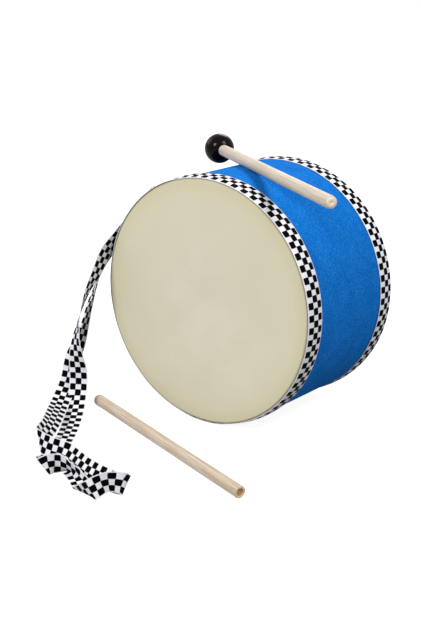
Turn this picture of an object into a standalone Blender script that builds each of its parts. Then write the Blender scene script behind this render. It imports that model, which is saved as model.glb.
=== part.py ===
# A small davul: a two-headed drum lying on its side, with its mallet, its stick and its ribbon strap.
# Metres. The origin is the centre of the front head's face, +Y runs along the drum to the rear head, +Z is up.

import math

import bmesh
import bpy
import numpy as np
from mathutils import Vector

MM = 0.001
SEAT_GAP = 0.3 * MM

# Drum body
SHELL_DIAMETER = 254 * MM
SHELL_LENGTH = 152.4 * MM
SHELL_WALL = 4 * MM
BEARING_CHAMFER = 1.2 * MM
HOOP_WIDTH = 15 * MM
HOOP_THICKNESS = 6 * MM
HOOP_SETBACK = 3 * MM
HOOP_CHAMFER = 2 * MM

# Skins, felt wrap and ribbon trim
SKIN_THICKNESS = 0.6 * MM
SKIN_EDGE_RADIUS = 3 * MM
SKIRT_LENGTH = 15 * MM
COVER_THICKNESS = 0.6 * MM
BUTT_GAP = 0.5 * MM
RIBBON_WIDTH = 20 * MM
RIBBON_THICKNESS = 0.6 * MM
TRIM_SETBACK = 2 * MM
SEAM_ANGLE = math.radians(217.5)

# Tacks that hold the strap
TACK_HEAD_DIAMETER = 9 * MM
TACK_HEAD_HEIGHT = 2.4 * MM
TACK_PIN_DIAMETER = 1.6 * MM
TACK_PIN_LENGTH = 10 * MM
FRONT_TACK_ANGLE = math.radians(125)
REAR_TACK_ANGLE = math.radians(135)

# Mallet, lying across the top of the drum on its point of balance
DOWEL_DIAMETER = 12 * MM
BALL_DIAMETER = 32.4 * MM
MALLET_LENGTH = 305 * MM
MALLET_BALANCE = 89 * MM
MALLET_STATION = 73 * MM
MALLET_HEADING = math.radians(-33.4)
TENON_PAST_CENTRE = 4 * MM
TENON_CHAMFER = 0.6 * MM
HANDLE_END_RADIUS = 3 * MM

# Stick, lying on the floor in front of the drum
STICK_LENGTH = 281 * MM
STICK_PLACE = (11.2 * MM, -78.7 * MM)
STICK_HEADING = math.radians(-20)
STICK_FAR_RADIUS = 3 * MM
STICK_NEAR_CHAMFER = 0.8 * MM
STICK_HOLLOW_DIAMETER = 7.8 * MM
STICK_HOLLOW_FLOOR = 6.6 * MM
STICK_HOLLOW_DEPTH = 1.2 * MM
STICK_HOLLOW_CONE = 0.6 * MM

# Strap: the free route in millimetres, as (centre of the ribbon, direction of the line from edge to edge there)
STRAP_SECTION_STEP = 5 * MM
STRAP_END_MARGIN = 11 * MM
STRAP_FRONT_SHIFT = 2 * MM
STRAP_SEAT_STEP = math.radians(6)
STRAP_FREE_ROUTE = [
    ((-108, 13, 75), (0, 1, -0.1)),
    ((-122, 5, 52), (-0.05, 0.95, -0.3)),
    ((-127, -6.7, 34.5), (-0.08, 0.93, -0.36)),
    ((-130, -18.8, 13.5), (-0.2, 0.88, -0.4)),
    ((-132, -29.6, -1.6), (-0.42, 0.8, -0.4)),
    ((-134.5, -37.5, -21), (-0.6, 0.75, -0.29)),
    ((-134, -44, -36), (-0.76, 0.6, -0.25)),
    ((-131, -52, -53), (-0.92, 0.36, -0.2)),
    ((-129, -53.5, -69.5), (-0.98, -0.05, -0.12)),
    ((-128, -52.5, -84), (-0.93, -0.36, -0.09)),
    ((-126.5, -53, -98.5), (-0.89, -0.46, -0.06)),
    ((-121.5, -57.5, -112), (-0.89, -0.45, 0)),
    ((-112, -74, -121.5), (-0.9, -0.43, 0.03)),
    ((-94, -103, -125.8), (-0.9, -0.41, 0.07)),
    ((-76, -132, -126.6), (-0.9, -0.4, 0.08)),
    ((-62, -157, -126.3), (-0.9, -0.4, 0.1)),
    ((-52, -173, -125.4), (-0.88, -0.38, 0.16)),
    ((-44, -185.5, -122.6), (-0.8, -0.3, 0.48)),
    ((-38.5, -194.5, -120.5), (-0.68, -0.3, 0.66)),
    ((-32.3, -200.3, -119.9), (-0.43, -0.34, 0.84)),
    ((-30.5, -196.8, -118.6), (-0.23, -0.1, 0.97)),
    ((-28.3, -192.8, -118.3), (0.03, 0.08, 1)),
    ((-26, -189.2, -118.6), (0.2, 0.11, 0.97)),
    ((-21.2, -186.8, -118.9), (0.42, -0.05, 0.9)),
    ((-15.1, -185.5, -120.5), (0.68, -0.27, 0.64)),
    ((-9, -185, -122.2), (0.85, -0.25, 0.4)),
    ((0, -188.4, -126.2), (0.95, -0.05, 0.06)),
    ((11.5, -195.6, -127.4), (0.98, -0.02, 0.02)),
    ((23.2, -204.3, -128), (1, -0.09, 0)),
    ((27.8, -208.6, -126.6), (1, -0.09, -0.03)),
    ((39.8, -212.5, -118.9), (0.55, 0.19, -0.81)),
    ((41.7, -206.8, -117.4), (0.43, 0.18, -0.88)),
    ((44.3, -201.8, -115.8), (0.3, 0.14, -0.94)),
    ((48.3, -196.9, -114.7), (0.27, -0.03, -0.96)),
    ((53.4, -192.5, -114.6), (0.1, -0.1, -0.99)),
    ((57.6, -189.1, -115.8), (-0.02, -0.17, -0.98)),
    ((58.2, -185.6, -118.6), (-0.05, -0.5, -0.86)),
    ((54.8, -183.4, -120.4), (-0.1, -0.7, -0.71)),
    ((47, -183.2, -120.8), (-0.2, -0.68, -0.7)),
    ((34.8, -183.3, -120.2), (-0.28, -0.62, -0.73)),
    ((17.8, -182.5, -118.9), (-0.33, -0.56, -0.77)),
    ((4.4, -179.8, -118.7), (-0.33, -0.56, -0.77)),
    ((-9.1, -176.4, -117.6), (-0.33, -0.56, -0.77)),
    ((-22, -171.8, -117.1), (-0.32, -0.55, -0.78)),
    ((-33.1, -169.1, -115.8), (-0.27, -0.52, -0.81)),
    ((-43.7, -169.8, -115.1), (-0.17, -0.46, -0.87)),
    ((-53.1, -171.6, -114), (-0.05, -0.4, -0.91)),
    ((-63.8, -170.7, -112.9), (0.1, -0.29, -0.95)),
    ((-73, -166.5, -112), (0.33, -0.1, -0.94)),
    ((-81, -155.5, -112), (0.56, 0.05, -0.83)),
    ((-86, -140.2, -112), (0.7, 0.14, -0.7)),
    ((-102.3, -110.2, -113.3), (0.83, 0.3, -0.47)),
    ((-131, -71.5, -113), (0.87, 0.37, -0.3)),
    ((-144.5, -53, -98.5), (0.9, 0.36, -0.2)),
    ((-141, -46, -75), (0.97, 0.2, -0.1)),
    ((-137, -38, -54.5), (0.99, -0.13, 0.06)),
    ((-136, -31, -39), (0.92, -0.36, 0.15)),
    ((-138, -21.5, -22), (0.86, -0.47, 0.16)),
    ((-140, -10.5, -6), (0.77, -0.61, 0.18)),
    ((-140, 2, 11.5), (0.62, -0.74, 0.25)),
    ((-138.5, 13, 29), (0.4, -0.7, 0.55)),
    ((-132, 27.5, 47), (0.35, -0.6, 0.7)),
    ((-120, 55, 66), (0.45, -0.42, 0.79)),
    ((-107, 88, 80), (0.56, -0.3, 0.77)),
    ((-97.5, 115, 89), (0.65, -0.18, 0.74)),
]

# Facets of the round pieces: one facet of the drum and of the stick lies flat on the floor
DRUM_FACETS = 72
DOWEL_FACETS = 24
BALL_FACETS = 32
BALL_RINGS = 14
TACK_FACETS = 12
EDGE_STEPS = 3
SMOOTH_ANGLE = math.radians(30)

# Sizes that follow from those above
shell_radius = SHELL_DIAMETER / 2
skin_inner = shell_radius + SEAT_GAP
skin_outer = skin_inner + SKIN_THICKNESS
cover_outer = skin_inner + COVER_THICKNESS
trim_inner = max(skin_outer, cover_outer) + SEAT_GAP
trim_outer = trim_inner + RIBBON_THICKNESS
strap_seat = trim_outer + SEAT_GAP + RIBBON_THICKNESS / 2
shell_start = SKIN_THICKNESS + SEAT_GAP
drum_length = SHELL_LENGTH + 2 * shell_start
shell_edge_radius = SKIN_EDGE_RADIUS - SKIN_THICKNESS - SEAT_GAP
hoop_outer = shell_radius - SHELL_WALL - SEAT_GAP
hoop_inner = hoop_outer - HOOP_THICKNESS
trim_middle = TRIM_SETBACK + RIBBON_WIDTH / 2
dowel_radius = DOWEL_DIAMETER / 2
ball_radius = BALL_DIAMETER / 2
bore_radius = dowel_radius + SEAT_GAP
floor_level = -trim_outer * math.cos(math.pi / DRUM_FACETS)
stick_level = floor_level + dowel_radius * math.cos(math.pi / DOWEL_FACETS)
mallet_level = cover_outer + SEAT_GAP + dowel_radius


def clear_scene():
    for item in list(bpy.data.objects):
        bpy.data.objects.remove(item, do_unlink=True)


def material(name, colour, roughness, metallic=0.0):
    made = bpy.data.materials.new(name)
    made.use_nodes = True
    shader = made.node_tree.nodes["Principled BSDF"]
    shader.inputs["Base Color"].default_value = (*colour, 1)
    shader.inputs["Roughness"].default_value = roughness
    shader.inputs["Metallic"].default_value = metallic
    return made


def frame(name, place, turn):
    empty = bpy.data.objects.new(name, None)
    empty.location = place
    empty.rotation_euler = turn
    bpy.context.collection.objects.link(empty)
    return empty


def finish(bm, name, parent, look):
    bmesh.ops.recalc_face_normals(bm, faces=bm.faces)
    mesh = bpy.data.meshes.new(name)
    bm.to_mesh(mesh)
    bm.free()
    mesh.shade_smooth()
    mesh.set_sharp_from_angle(angle=SMOOTH_ANGLE)
    mesh.materials.append(look)
    made = bpy.data.objects.new(name, mesh)
    bpy.context.collection.objects.link(made)
    made.parent = parent
    return made


def arc(centre, radius, first, last, steps):
    # Points of an arc in a profile's own plane, angles in degrees from the radial direction
    points = []
    for step in range(steps + 1):
        angle = math.radians(first + (last - first) * step / steps)
        points.append((centre[0] + radius * math.cos(angle), centre[1] + radius * math.sin(angle)))
    return points


def turned(name, profile, parent, look, facets, closed=True, seam=None):
    # Spins a profile of (radius, height) points about the local Z axis.
    # With a seam the band stops short of a full turn there, as a wrapped strip does.
    bm = bmesh.new()
    if seam is None:
        start = math.pi / facets
        sweep = 2 * math.pi
    else:
        slit = BUTT_GAP / max(radius for radius, height in profile)
        start = seam + slit / 2
        sweep = 2 * math.pi - slit
    points = [bm.verts.new((r * math.cos(start), r * math.sin(start), h)) for r, h in profile]
    edges = [bm.edges.new(pair) for pair in zip(points, points[1:])]
    if closed:
        edges.append(bm.edges.new((points[-1], points[0])))
    bmesh.ops.spin(bm, geom=points + edges, axis=(0, 0, 1), angle=sweep, steps=facets, use_merge=seam is None)
    bmesh.ops.remove_doubles(bm, verts=bm.verts, dist=MM / 1000)
    bmesh.ops.holes_fill(bm, edges=[edge for edge in bm.edges if edge.is_boundary], sides=0)
    return finish(bm, name, parent, look)


def shell(parent):
    outer = shell_radius
    inner = shell_radius - SHELL_WALL
    round_at = outer - shell_edge_radius
    first = shell_start
    last = shell_start + SHELL_LENGTH
    profile = arc((round_at, first + shell_edge_radius), shell_edge_radius, -90, 0, EDGE_STEPS)
    profile += arc((round_at, last - shell_edge_radius), shell_edge_radius, 0, 90, EDGE_STEPS)
    profile += [(inner + BEARING_CHAMFER, last), (inner, last - BEARING_CHAMFER)]
    profile += [(inner, first + BEARING_CHAMFER), (inner + BEARING_CHAMFER, first)]
    look = material("bent_plywood", (0.55, 0.40, 0.24), 0.6)
    return turned("shell", profile, parent, look, DRUM_FACETS)


def hoop(name, start, parent):
    # A glued ring inside one end of the shell, with its inner corners eased
    end = start + HOOP_WIDTH
    profile = [(hoop_outer, start), (hoop_outer, end), (hoop_inner + HOOP_CHAMFER, end)]
    profile += [(hoop_inner, end - HOOP_CHAMFER), (hoop_inner, start + HOOP_CHAMFER)]
    profile += [(hoop_inner + HOOP_CHAMFER, start)]
    look = material(name + "_plywood", (0.50, 0.36, 0.21), 0.65)
    return turned(name, profile, parent, look, DRUM_FACETS)


def head(name, face, inward, parent):
    # A skin stretched over one end, its edge turned down round the shell; inward is +1 or -1 along the axis
    bend = face + inward * SKIN_EDGE_RADIUS
    hem = face + inward * SKIRT_LENGTH
    round_at = skin_outer - SKIN_EDGE_RADIUS
    inner_radius = SKIN_EDGE_RADIUS - SKIN_THICKNESS
    profile = arc((round_at, bend), SKIN_EDGE_RADIUS, -90 * inward, 0, EDGE_STEPS)
    profile += [(skin_outer, hem), (skin_inner, hem)]
    profile += arc((round_at, bend), inner_radius, 0, -90 * inward, EDGE_STEPS)
    look = material(name + "_skin", (0.62, 0.58, 0.44), 0.55)
    return turned(name, profile, parent, look, DRUM_FACETS, closed=False)


def band(name, inner, thickness, start, width, parent, look):
    outer = inner + thickness
    profile = [(inner, start), (outer, start), (outer, start + width), (inner, start + width)]
    return turned(name, profile, parent, look, DRUM_FACETS, seam=SEAM_ANGLE)


def smooth_route(stations, step):
    # A cubic through the stations, read at even steps; each row is a centre and an across direction
    rows = np.array([list(centre) + list(Vector(across).normalized()) for centre, across in stations])
    spans = np.linalg.norm(np.diff(rows[:, :3], axis=0), axis=1)
    marks = np.concatenate([[0], np.cumsum(spans)])
    before = np.concatenate([[0], np.arange(len(rows) - 1)])
    after = np.concatenate([np.arange(1, len(rows)), [len(rows) - 1]])
    slopes = (rows[after] - rows[before]) / (marks[after] - marks[before])[:, None]
    made = []
    for along in np.linspace(0, marks[-1], round(marks[-1] / step) + 1):
        at = min(np.searchsorted(marks, along, side="right") - 1, len(rows) - 2)
        span = spans[at]
        t = (along - marks[at]) / span
        made.append(
            (2 * t**3 - 3 * t**2 + 1) * rows[at]
            + (t**3 - 2 * t**2 + t) * span * slopes[at]
            + (3 * t**2 - 2 * t**3) * rows[at + 1]
            + (t**3 - t**2) * span * slopes[at + 1]
        )
    return np.array(made)


def on_drum(angle, radius, along):
    return Vector((radius * math.cos(angle), along, radius * math.sin(angle)))


def strap_stations():
    # Both ends lie on the trims, under the tacks: the front one along its trim, the rear one across its trim
    front_along = trim_middle + STRAP_FRONT_SHIFT
    end_angle = STRAP_END_MARGIN / strap_seat
    stations = []
    for turn in (-end_angle, 0, STRAP_SEAT_STEP, 2 * STRAP_SEAT_STEP):
        stations.append((on_drum(FRONT_TACK_ANGLE + turn, strap_seat, front_along), (0, 1, 0)))
    for centre, across in STRAP_FREE_ROUTE:
        stations.append((Vector(centre) * MM, across))
    rear_across = (math.sin(REAR_TACK_ANGLE), 0, -math.cos(REAR_TACK_ANGLE))
    rear_along = drum_length - trim_middle
    for along in (rear_along - STRAP_END_MARGIN, rear_along, rear_along + RIBBON_WIDTH / 2):
        stations.append((on_drum(REAR_TACK_ANGLE, strap_seat, along), rear_across))
    return stations


def strap(look):
    # One ribbon from tack to tack: hanging off the drum's side, then standing and lying in folds on the floor
    rows = smooth_route(strap_stations(), STRAP_SECTION_STEP)
    centres = rows[:, :3]
    along = np.gradient(centres, axis=0)
    along /= np.linalg.norm(along, axis=1)[:, None]
    # A line from edge to edge may lie askew to the path, as it does at a slanting fold, and is longer for it
    across = rows[:, 3:] / np.linalg.norm(rows[:, 3:], axis=1)[:, None]
    across *= RIBBON_WIDTH / 2 / np.linalg.norm(np.cross(along, across), axis=1)[:, None]
    bm = bmesh.new()
    left = [bm.verts.new(point) for point in centres - across]
    right = [bm.verts.new(point) for point in centres + across]
    for at in range(len(rows) - 1):
        bm.faces.new((left[at], right[at], right[at + 1], left[at + 1]))
    made = finish(bm, "strap", None, look)
    solid = made.modifiers.new("ribbon_thickness", "SOLIDIFY")
    solid.thickness = RIBBON_THICKNESS
    solid.offset = 0
    length = float(np.sum(np.linalg.norm(np.diff(centres, axis=0), axis=1)))
    print("strap length in metres:", round(length, 3))
    return made


def tack(name, angle, along, held):
    # A dome-headed tack driven in along a radius, and the clearance hole that it needs in each piece it holds
    place = on_drum(angle, strap_seat + RIBBON_THICKNESS / 2 + SEAT_GAP, along)
    socket = frame(name + "_axis", place, (0, math.pi / 2 - angle, 0))
    head_radius = TACK_HEAD_DIAMETER / 2
    pin_radius = TACK_PIN_DIAMETER / 2
    rim = TACK_HEAD_HEIGHT / 4
    dome = [(head_radius * math.cos(a), rim + (TACK_HEAD_HEIGHT - rim) * math.sin(a)) for a in (0, 0.5, 1.0)]
    profile = [(0, -TACK_PIN_LENGTH), (pin_radius, -TACK_PIN_LENGTH + pin_radius * 2), (pin_radius, 0)]
    profile += [(head_radius, 0)] + dome + [(0, TACK_HEAD_HEIGHT)]
    look = material(name + "_brass", (0.55, 0.42, 0.18), 0.35, 1.0)
    made = turned(name, profile, socket, look, TACK_FACETS, closed=False)
    hole_radius = pin_radius + SEAT_GAP
    hole = [(0, -TACK_PIN_LENGTH - SEAT_GAP), (hole_radius, -TACK_PIN_LENGTH - SEAT_GAP)]
    hole += [(hole_radius, TACK_HEAD_HEIGHT), (0, TACK_HEAD_HEIGHT)]
    cutter = turned(name + "_hole", hole, socket, look, TACK_FACETS, closed=False)
    cutter.hide_render = True
    cutter.display_type = "WIRE"
    for piece in held:
        cut = piece.modifiers.new(name + "_hole", "BOOLEAN")
        cut.operation = "DIFFERENCE"
        cut.object = cutter
    return made


def mallet():
    # The ball's centre is the local origin and the handle runs along local +Z
    out = Vector((math.cos(MALLET_HEADING), math.sin(MALLET_HEADING), 0))
    place = Vector((0, MALLET_STATION, mallet_level)) - out * MALLET_BALANCE
    axis = frame("mallet_axis", place, (0, math.pi / 2, MALLET_HEADING))
    mouth = math.degrees(math.acos(bore_radius / ball_radius))
    bore_end = -TENON_PAST_CENTRE - SEAT_GAP
    profile = [(0, -ball_radius)] + arc((0, 0), ball_radius, -90, mouth, BALL_RINGS)[1:]
    profile += [(bore_radius, bore_end), (0, bore_end)]
    lacquer = material("lacquered_ball", (0.03, 0.022, 0.022), 0.2)
    turned("mallet_ball", profile, axis, lacquer, BALL_FACETS, closed=False)
    corner = (dowel_radius - HANDLE_END_RADIUS, MALLET_LENGTH - HANDLE_END_RADIUS)
    profile = [(0, -TENON_PAST_CENTRE), (dowel_radius - TENON_CHAMFER, -TENON_PAST_CENTRE)]
    profile += [(dowel_radius, -TENON_PAST_CENTRE + TENON_CHAMFER)]
    profile += arc(corner, HANDLE_END_RADIUS, 0, 90, EDGE_STEPS) + [(0, MALLET_LENGTH)]
    beech = material("handle_beech", (0.72, 0.60, 0.44), 0.5)
    turned("mallet_handle", profile, axis, beech, DOWEL_FACETS, closed=False)


def stick():
    axis = frame("stick_axis", (*STICK_PLACE, stick_level), (0, math.pi / 2, STICK_HEADING))
    half = STICK_LENGTH / 2
    profile = [(0, -half)]
    profile += arc((dowel_radius - STICK_FAR_RADIUS, STICK_FAR_RADIUS - half), STICK_FAR_RADIUS, -90, 0, EDGE_STEPS)
    profile += [(dowel_radius, half - STICK_NEAR_CHAMFER), (dowel_radius - STICK_NEAR_CHAMFER, half)]
    # The near end is dished where the dowel was held between centres
    dished = half - STICK_HOLLOW_DEPTH
    profile += [(STICK_HOLLOW_DIAMETER / 2, half), (STICK_HOLLOW_FLOOR / 2, dished), (0, dished - STICK_HOLLOW_CONE)]
    look = material("stick_beech", (0.70, 0.58, 0.42), 0.55)
    turned("stick", profile, axis, look, DOWEL_FACETS, closed=False)


def drum():
    axis = frame("drum_axis", (0, 0, 0), (-math.pi / 2, 0, 0))
    body = shell(axis)
    hoop_start = shell_start + HOOP_SETBACK
    front_hoop = hoop("front_hoop", hoop_start, axis)
    rear_hoop = hoop("rear_hoop", drum_length - hoop_start - HOOP_WIDTH, axis)
    front_head = head("front_head", 0, 1, axis)
    rear_head = head("rear_head", drum_length, -1, axis)
    cover_start = SKIRT_LENGTH + BUTT_GAP
    felt = material("blue_felt", (0.01, 0.14, 0.50), 0.9)
    band("shell_cover", skin_inner, COVER_THICKNESS, cover_start, drum_length - 2 * cover_start, axis, felt)
    ribbon = material("checked_ribbon", (0.45, 0.45, 0.45), 0.7)
    front_trim = band("front_trim", trim_inner, RIBBON_THICKNESS, TRIM_SETBACK, RIBBON_WIDTH, axis, ribbon)
    rear_start = drum_length - TRIM_SETBACK - RIBBON_WIDTH
    rear_trim = band("rear_trim", trim_inner, RIBBON_THICKNESS, rear_start, RIBBON_WIDTH, axis, ribbon)
    carrier = strap(material("strap_ribbon", (0.45, 0.45, 0.45), 0.7))
    front_layers = (carrier, front_trim, front_head, body, front_hoop)
    rear_layers = (carrier, rear_trim, rear_head, body, rear_hoop)
    tack("front_tack", FRONT_TACK_ANGLE, trim_middle, front_layers)
    tack("rear_tack", REAR_TACK_ANGLE, drum_length - trim_middle, rear_layers)


clear_scene()
drum()
mallet()
stick()
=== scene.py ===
import math

import bpy
import numpy as np
from mathutils import Euler, Matrix, Vector


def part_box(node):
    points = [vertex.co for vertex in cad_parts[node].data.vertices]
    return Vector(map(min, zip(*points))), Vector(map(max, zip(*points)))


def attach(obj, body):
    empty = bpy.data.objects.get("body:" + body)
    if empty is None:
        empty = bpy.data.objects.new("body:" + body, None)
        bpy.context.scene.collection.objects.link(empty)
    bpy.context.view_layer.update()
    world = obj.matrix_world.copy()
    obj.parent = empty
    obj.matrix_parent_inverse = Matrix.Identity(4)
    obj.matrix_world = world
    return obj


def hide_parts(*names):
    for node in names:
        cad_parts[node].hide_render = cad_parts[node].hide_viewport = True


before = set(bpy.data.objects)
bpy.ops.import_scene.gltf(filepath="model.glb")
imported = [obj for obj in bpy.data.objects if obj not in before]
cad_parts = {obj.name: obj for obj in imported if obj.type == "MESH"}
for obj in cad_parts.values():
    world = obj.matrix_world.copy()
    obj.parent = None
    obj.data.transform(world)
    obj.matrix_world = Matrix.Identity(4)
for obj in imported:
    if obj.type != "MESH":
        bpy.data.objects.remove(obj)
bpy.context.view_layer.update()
mm = 0.001
sharpTurn = math.radians(40)  # edges that turn more than this are shaded sharp
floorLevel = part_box("front_trim")[0].z
print("frame loaded:", len(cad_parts), "nodes")


def linear(hexColour):  # sRGB hex to the linear values that the shader wants
    channels = [int(hexColour[i : i + 2], 16) / 255 for i in (1, 3, 5)]
    return [c / 12.92 if c <= 0.04045 else ((c + 0.055) / 1.055) ** 2.4 for c in channels] + [1]


# links: (input name or number, socket or value)
# A colour Mix has its two colours at inputs 6 and 7 and its result at output 2
def addNode(tree, kind, links=(), **settings):
    made = tree.nodes.new(kind)
    for name, value in settings.items():
        setattr(made, name, value)
    for name, source in links:
        if isinstance(source, bpy.types.NodeSocket):
            tree.links.new(source, made.inputs[name])
        else:
            made.inputs[name].default_value = source
    return made


def newMaterial(name, **shaderValues):
    made = bpy.data.materials.new(name)
    made.use_nodes = True
    tree = made.node_tree
    shader = tree.nodes["Principled BSDF"]
    for socket, value in shaderValues.items():
        shader.inputs[socket.replace("_", " ")].default_value = value
    return made, tree, shader


# Stretched goat skin, scraped and dried: pale, dull, cloudy, with fine pores and a yellower turned edge
def goatSkin():
    look = dict(pale="#D3CDBA", thin="#DFD9C5", cloud="#CEC8B1", pore="#BDB599")
    look.update(thinFrom=-20, thinTo=110, cloudMm=46, poreMm=1.6, fibreMm=5, bumpMm=0.3)
    bend = drum["skinOuter"] - drum["edge"]
    rings = [  # colour, radii in mm between which it comes in, most of it
        ("#CFC9AC", 40, bend, 0.75),  # creamier away from the middle
        ("#BDB488", bend - 13, bend, 0.3),  # yellower where the skin was wet and pulled
        ("#A9A286", bend, bend + 1, 0.6),  # painted shade on the turned edge, which keeps it from catching the light
        ("#5E584A", bend + 1.2, bend + 1.9, 0.6),  # painted shadow where the skin meets the ribbon
    ]
    made, tree, shader = newMaterial("goat_skin_dried", IOR=1.45, Specular_IOR_Level=0.25)
    place = addNode(tree, "ShaderNodeAttribute", attribute_name="turnedMm").outputs["Vector"]
    height = addNode(tree, "ShaderNodeSeparateXYZ", [(0, place)]).outputs["Y"]
    # paler towards the bottom of the head, from 20 mm above its middle to 110 mm below it
    links = [("Value", height), ("From Min", look["thinFrom"]), ("From Max", look["thinTo"])]
    thin = addNode(tree, "ShaderNodeMapRange", links)
    links = [("Vector", place), ("Scale", 1 / look["cloudMm"]), ("Detail", 5)]
    clouds = addNode(tree, "ShaderNodeTexNoise", links)
    links = [("Value", clouds.outputs["Fac"]), ("From Min", 0.35), ("From Max", 0.68), ("To Max", 0.6)]
    cloud = addNode(tree, "ShaderNodeMapRange", links)
    layers = [(thin, look["thin"]), (cloud, look["cloud"])]
    flat = addNode(tree, "ShaderNodeVectorMath", [(0, place), (1, (1, 1, 0))], operation="MULTIPLY")
    reach = addNode(tree, "ShaderNodeVectorMath", [(0, flat.outputs[0])], operation="LENGTH")
    for colour, first, last, most in rings:
        links = [("Value", reach.outputs["Value"]), ("From Min", first), ("From Max", last)]
        links += [("To Max", most)]
        layers.append((addNode(tree, "ShaderNodeMapRange", links), colour))
    pores = addNode(tree, "ShaderNodeTexVoronoi", [("Vector", place), ("Scale", 1 / look["poreMm"])])
    links = [("Value", pores.outputs["Distance"]), ("From Min", 0.05), ("From Max", 0.3)]
    links += [("To Min", 0.3), ("To Max", 0)]
    layers.append((addNode(tree, "ShaderNodeMapRange", links), look["pore"]))
    skin = linear(look["pale"])
    for share, colour in layers:
        links = [("Factor", share.outputs[0]), (6, skin), (7, linear(colour))]
        skin = addNode(tree, "ShaderNodeMix", links, data_type="RGBA").outputs[2]
    tree.links.new(skin, shader.inputs["Base Color"])
    links = [("Vector", place), ("Scale", 1 / look["fibreMm"]), ("Detail", 9), ("Roughness", 0.65)]
    fibre = addNode(tree, "ShaderNodeTexNoise", links).outputs["Fac"]
    rough = addNode(tree, "ShaderNodeMapRange", [("Value", fibre), ("To Min", 0.48), ("To Max", 0.7)])
    tree.links.new(rough.outputs[0], shader.inputs["Roughness"])
    links = [("Height", fibre), ("Strength", 0.35), ("Distance", look["bumpMm"] * mm)]
    bump = addNode(tree, "ShaderNodeBump", links)
    tree.links.new(bump.outputs[0], shader.inputs["Normal"])
    return made


# Needle felt of dyed synthetic wool: matt, blotchy at the size of its fibre tufts, with a faint blue sheen
def blueFelt():
    look = dict(deep="#0758A7", body="#0F68BB", tuft="#257BCE", glued="#08376E", sheen="#4F9AE8")
    look.update(tuftMm=1.8, blotchMm=20, blotchShare=0.15, fibreMm=0.9, bumpMm=0.4)
    look.update(soakedFrom=53.4, soakedTo=55)  # mm from the middle: painted shadow darkens the felt along the trims' edges
    matt = dict(Roughness=0.95, IOR=1.45, Specular_IOR_Level=0.02)
    fuzz = dict(Sheen_Weight=0.05, Sheen_Roughness=0.6, Sheen_Tint=linear(look["sheen"]))
    made, tree, shader = newMaterial("blue_needle_felt", **matt, **fuzz)
    place = addNode(tree, "ShaderNodeTexCoord").outputs["Object"]
    links = [("Vector", place), ("Scale", 1 / (look["blotchMm"] * mm)), ("Detail", 3)]
    blotch = addNode(tree, "ShaderNodeTexNoise", links).outputs["Fac"]
    links = [("Vector", place), ("Scale", 1 / (look["tuftMm"] * mm)), ("Detail", 6), ("Roughness", 0.7)]
    tuft = addNode(tree, "ShaderNodeTexNoise", links).outputs["Fac"]
    both = addNode(tree, "ShaderNodeMix", [("Factor", look["blotchShare"]), (2, tuft), (3, blotch)])
    ramp = addNode(tree, "ShaderNodeValToRGB", [("Fac", both.outputs[0])])
    stops = ramp.color_ramp.elements
    stops.new(0.5)
    for stop, position, colour in zip(stops, (0.4, 0.5, 0.62), ("deep", "body", "tuft")):
        stop.position = position
        stop.color = linear(look[colour])
    thread = addNode(tree, "ShaderNodeAttribute", attribute_name="threadMm").outputs["Vector"]
    across = addNode(tree, "ShaderNodeSeparateXYZ", [(0, thread)]).outputs["Y"]
    middle = drum["coverWidth"] / 2
    offset = addNode(tree, "ShaderNodeMath", [(0, across), (1, middle)], operation="SUBTRACT")
    fromMiddle = addNode(tree, "ShaderNodeMath", [(0, offset.outputs[0])], operation="ABSOLUTE")
    links = [("Value", fromMiddle.outputs[0]), ("To Max", 0.7)]
    links += [("From Min", look["soakedFrom"]), ("From Max", look["soakedTo"])]
    # painted shadow on the felt where the trims' edges stand over it
    soaked = addNode(tree, "ShaderNodeMapRange", links)
    links = [("Factor", soaked.outputs[0]), (6, ramp.outputs[0]), (7, linear(look["glued"]))]
    colour = addNode(tree, "ShaderNodeMix", links, data_type="RGBA")
    tree.links.new(colour.outputs[2], shader.inputs["Base Color"])
    links = [("Vector", place), ("Scale", 1 / (look["fibreMm"] * mm)), ("Detail", 5), ("Roughness", 0.75)]
    fibre = addNode(tree, "ShaderNodeTexNoise", links).outputs["Fac"]
    links = [("Height", fibre), ("Strength", 0.6), ("Distance", look["bumpMm"] * mm)]
    bump = addNode(tree, "ShaderNodeBump", links)
    tree.links.new(bump.outputs[0], shader.inputs["Normal"])
    return made


# Woven polyester ribbon: matt white ground, three rows of black checks in raised floats, fine cross ribs
ribbon = dict(width=20, thickness=0.6, checkLength=6.15, checkShare=0.57, cornerMm=1.1, ribMm=0.75)
checkRows = [  # middle across the ribbon, half height, shift along in pairs
    (3.95, 3.1, 0),
    (10, 3.2, 0.5),
    (16.05, 3.1, 0),
]


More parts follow.
